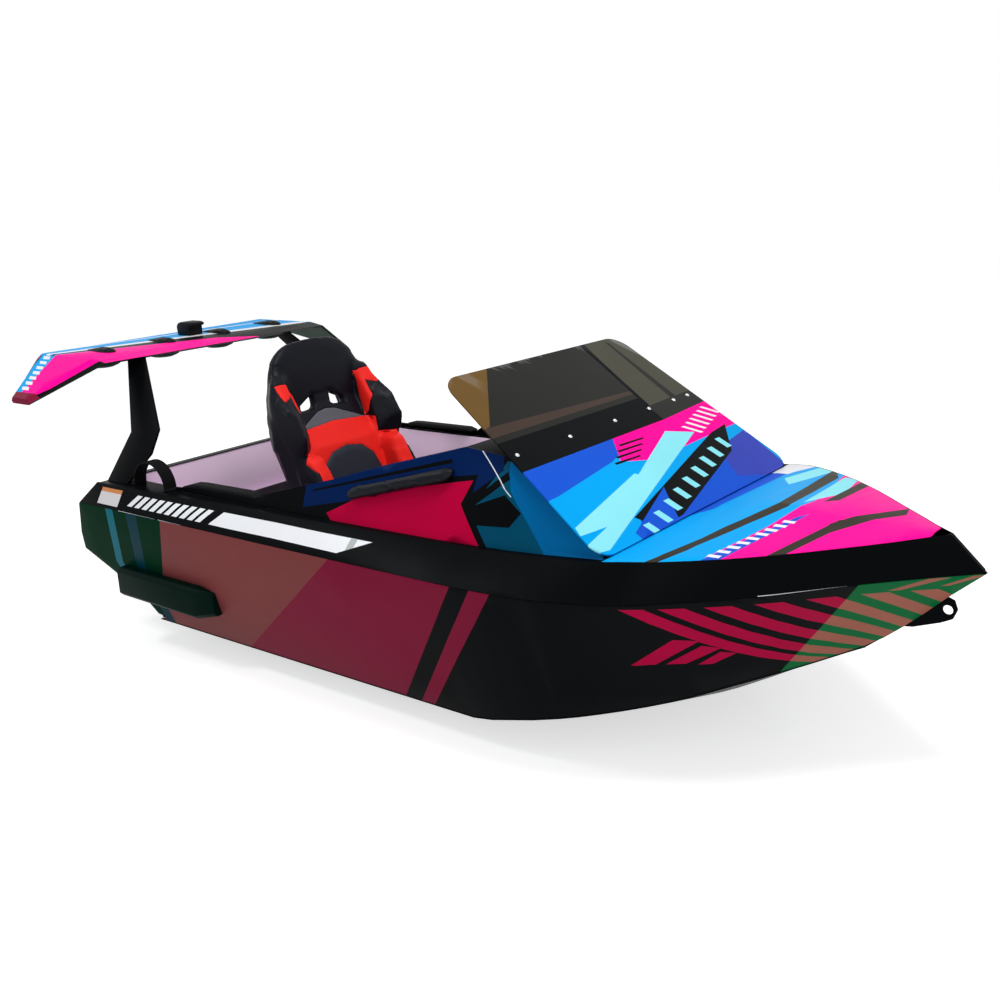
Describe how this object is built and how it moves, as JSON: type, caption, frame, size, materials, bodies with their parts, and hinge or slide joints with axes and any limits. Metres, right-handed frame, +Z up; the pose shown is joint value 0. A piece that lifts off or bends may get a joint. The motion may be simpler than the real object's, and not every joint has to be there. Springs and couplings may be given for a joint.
{
  "type": "mini jet boat",
  "caption": "One-seat aluminium jet boat with a raked smoked screen, a bucket seat, a rear wing on leaning uprights and a steerable water jet.",
  "frame": {"origin": "on the ground under the keel pad, on the centreline, half way along the overall length", "axes": "+X towards the bow, +Y to port, +Z up"},
  "size_m": [3.805, 1.76, 1.2343],
  "materials": {
    "wrap_black": "gloss vinyl wrap",
    "wrap_side": "gloss vinyl wrap",
    "wrap_deck": "gloss vinyl wrap",
    "wrap_cowl": "gloss vinyl wrap",
    "wrap_wing": "gloss vinyl wrap",
    "black_plate": "satin powder coat",
    "aluminium": "satin",
    "cast_metal": "as cast",
    "steel": "brushed",
    "lining": "satin paint",
    "floor_mat": "ribbed foam mat",
    "smoked_acrylic": "smoked, clear",
    "leather_black": "soft grain",
    "leather_red": "soft grain",
    "rubber": "moulded",
    "plastic_black": "gloss",
    "webbing": "woven",
    "wheel_grip": "wrapped",
    "label": "blank"
  },
  "bodies": {
    "hull": {"aft_wall": "lining", "coaming_pads": "leather_black", "cowl_front": "black_plate", "cowl_port": "wrap_cowl", "cowl_starboard": "wrap_cowl", "dash": "black_plate", "dash_hood": "black_plate", "elbow_pads": "leather_black", "engine": "cast_metal", "engine_box": "lining", "floor": "floor_mat", "foredeck": "wrap_deck", "grab_handles": "webbing", "hull_bottom": "wrap_black", "intake_grate": "steel", "jet_duct": "aluminium", "label_plate": "label", "liner_sides": "lining", "pedal": "aluminium", "pump_housing": "aluminium", "screen": "smoked_acrylic", "seat_back": "leather_black", "seat_back_wings": "leather_black", "seat_cushion": "leather_red", "seat_rails": "black_plate", "seat_thigh_wings": "leather_red", "sheer_port": "wrap_black", "sheer_starboard": "wrap_black", "side_decks": "black_plate", "side_port": "wrap_side", "side_starboard": "wrap_side", "sponsons": "rubber", "steering_column": "black_plate", "stem_bar": "wrap_black", "stern_deck": "black_plate", "stern_panel": "wrap_black", "strakes": "wrap_black", "toe_board": "lining", "tow_eye": "black_plate", "transom": "aluminium", "uprights": "black_plate", "wing_blade": "wrap_wing", "wing_blisters": "plastic_black", "wing_lamp": "plastic_black", "wing_pods": "plastic_black"},
    "engine_lid": {"engine_hatch": "black_plate"},
    "steering": {"steering_wheel": "wheel_grip"},
    "impeller": {"impeller": "steel"},
    "nozzle": {"steering_nozzle": "aluminium"},
    "bucket": {"reverse_bucket": "aluminium"}
  },
  "joints": [
    {"name": "steering_turn", "type": "hinge", "parent": "hull", "child": "steering", "pos_m": [0.2325, 0, 0.85], "axis": [-0.9135, 0, 0.4067], "range_deg": [-180, 180]},
    {"name": "nozzle_yaw", "type": "hinge", "parent": "hull", "child": "nozzle", "pos_m": [-1.3135, 0, 0.13], "axis": [0, 0, 1], "range_deg": [-20, 20]},
    {"name": "bucket_drop", "type": "hinge", "parent": "nozzle", "child": "bucket", "pos_m": [-1.3775, 0, 0.13], "axis": [0, -1, 0], "range_deg": [0, 65]},
    {"name": "impeller_spin", "type": "hinge", "parent": "hull", "child": "impeller", "pos_m": [-1.1475, 0, 0.13], "axis": [1, 0, 0], "continuous": true},
    {"name": "engine_lid_open", "type": "hinge", "parent": "hull", "child": "engine_lid", "pos_m": [-1.3275, 0, 0.474], "axis": [0, -1, 0], "range_deg": [0, 75]}
  ],
  "couplings": [
    {"joint": "nozzle_yaw", "follows": "steering_turn", "ratio": -0.11}
  ]
}
